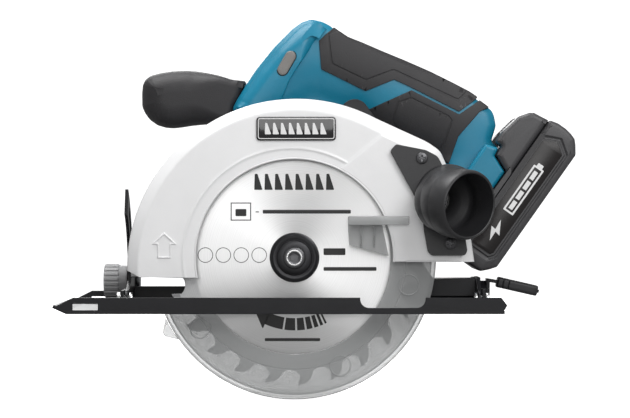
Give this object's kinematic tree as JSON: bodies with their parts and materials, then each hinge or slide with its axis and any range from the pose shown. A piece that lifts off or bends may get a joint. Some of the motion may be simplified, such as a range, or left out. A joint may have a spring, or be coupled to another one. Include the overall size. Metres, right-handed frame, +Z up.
{
  "type": "circular saw",
  "caption": "Compact battery circular saw: toothed blade under a white upper guard and a clear swinging lower guard, on a tilting, depth-setting steel base.",
  "frame": {"origin": "on the sole of the base, in the middle plane of the blade, below the blade's axis", "axes": "+Z up from the sole, +X to the rear where the battery is, +Y to the motor side; the blade side faces -Y"},
  "size_m": [0.3058, 0.1775, 0.2248],
  "materials": {
    "base_black": "semi-gloss black",
    "steel": "brushed",
    "zinc_steel": "zinc plated",
    "knob_grey": "moulded, ribbed",
    "sleeve_black": "soft",
    "guard_white": "satin white",
    "badge_black": "gloss black with pale line",
    "port_black": "moulded",
    "case_alu": "die cast",
    "blue": "satin moulded",
    "grip_rubber": "matt over-moulded",
    "clear_guard": "smoked transparent",
    "blade_steel": "radially ground",
    "flange_dark": "dark oxide",
    "copper_core": "enamelled copper and laminations",
    "black_plastic": "moulded",
    "pack_grey": "moulded",
    "label_black": "printed label",
    "button_grey": "satin",
    "cell_green": "shrink sleeve",
    "bumper_rubber": "soft"
  },
  "bodies": {
    "base": {"base_plate": "base_black", "bevel_quadrant": "zinc_steel", "rear_bracket": "base_black", "base_rivets": "steel", "rear_bolt": "zinc_steel"},
    "tilt": {"tilt_frame": "base_black", "bevel_pins": "steel", "bevel_bolt": "zinc_steel", "depth_arm": "base_black", "depth_pin": "steel"},
    "knob": {"bevel_knob": "knob_grey"},
    "clamp_lever": {"bevel_lever": "zinc_steel", "lever_sleeve": "sleeve_black"},
    "saw": {"upper_guard": "guard_white", "guard_badge": "badge_black", "depth_bolt": "zinc_steel", "dust_port": "port_black", "port_screws": "steel", "guard_spring": "steel", "guard_bumper": "bumper_rubber", "gear_case": "case_alu", "spindle_bearing": "steel", "spindle_rear_bearing": "steel", "motor_front_bearing": "steel", "motor_housing": "blue", "motor_end_cap": "black_plastic", "motor_rear_bearing": "steel", "motor_stator": "copper_core", "brush_holders": "black_plastic", "shell_left": "blue", "shell_right": "blue", "shell_screws": "steel", "trigger_pivot": "steel", "switch_module": "black_plastic", "grip_upper": "grip_rubber", "grip_lower": "grip_rubber", "front_handle": "grip_rubber", "terminal_block": "black_plastic"},
    "depth_clamp": {"depth_lever": "black_plastic"},
    "spindle": {"spindle": "steel", "spindle_gear": "steel", "inner_flange": "flange_dark", "blade": "blade_steel", "outer_flange": "flange_dark", "blade_bolt": "zinc_steel"},
    "rotor": {"motor_shaft": "steel", "motor_pinion": "steel", "armature": "copper_core", "commutator": "copper_core", "motor_fan": "black_plastic"},
    "lower_guard": {"lower_guard": "clear_guard", "guard_hub": "steel"},
    "trigger": {"trigger": "black_plastic"},
    "lock_off": {"lock_off_button": "button_grey"},
    "spindle_lock": {"spindle_lock_button": "black_plastic"},
    "battery": {"battery_case": "pack_grey", "battery_cover": "pack_grey", "battery_cells": "cell_green", "battery_label": "label_black"},
    "latch": {"battery_latch": "black_plastic"}
  },
  "joints": [
    {"name": "bevel_tilt", "type": "hinge", "parent": "base", "child": "tilt", "pos_m": [0, -0.006, 0.008], "axis": [1, 0, 0], "range_deg": [0, 45]},
    {"name": "bevel_knob_turn", "type": "hinge", "parent": "tilt", "child": "knob", "pos_m": [-0.108, 0.05639, 0.01677], "axis": [1, 0, 0], "range_deg": [-180, 180]},
    {"name": "bevel_lever_turn", "type": "hinge", "parent": "base", "child": "clamp_lever", "pos_m": [0.114, 0.057, 0.012], "axis": [1, 0, 0], "range_deg": [0, 75]},
    {"name": "depth", "type": "hinge", "parent": "tilt", "child": "saw", "pos_m": [-0.086, 0.022, 0.028], "axis": [0, -1, 0], "range_deg": [0, 30]},
    {"name": "depth_lever_turn", "type": "hinge", "parent": "saw", "child": "depth_clamp", "pos_m": [0.06393, 0.02, 0.04112], "axis": [0, -1, 0], "range_deg": [0, 60]},
    {"name": "spindle_spin", "type": "hinge", "parent": "saw", "child": "spindle", "pos_m": [0, 0, 0.032], "axis": [0, -1, 0], "continuous": true},
    {"name": "rotor_spin", "type": "hinge", "parent": "saw", "child": "rotor", "pos_m": [0.0126, 0.06, 0.05784], "axis": [0, -1, 0], "continuous": true},
    {"name": "lower_guard_swing", "type": "hinge", "parent": "saw", "child": "lower_guard", "pos_m": [0, 0, 0.032], "axis": [0, -1, 0], "range_deg": [0, 120], "stiffness_Nm_per_rad": 0.12, "springref_deg": -57.3},
    {"name": "trigger_pull", "type": "hinge", "parent": "saw", "child": "trigger", "pos_m": [0.036, 0.048, 0.128], "axis": [0, -1, 0], "range_deg": [0, 9], "stiffness_Nm_per_rad": 0.6, "springref_deg": -8.59},
    {"name": "lock_off_press", "type": "slide", "parent": "saw", "child": "lock_off", "axis": [0, 1, 0], "range_m": [0, 0.0025], "stiffness_N_per_m": 600, "springref_m": -0.002},
    {"name": "spindle_lock_press", "type": "slide", "parent": "saw", "child": "spindle_lock", "axis": [0, 0, -1], "range_m": [0, 0.0035], "stiffness_N_per_m": 800, "springref_m": -0.002},
    {"name": "battery_slide", "type": "slide", "parent": "saw", "child": "battery", "axis": [0.5762, 0, 0.8173], "range_m": [0, 0.07]},
    {"name": "latch_press", "type": "slide", "parent": "battery", "child": "latch", "axis": [0.8173, 0, -0.5762], "range_m": [0, 0.0025], "stiffness_N_per_m": 600, "springref_m": -0.002}
  ],
  "couplings": [
    {"joint": "rotor_spin", "follows": "spindle_spin", "ratio": -4}
  ]
}
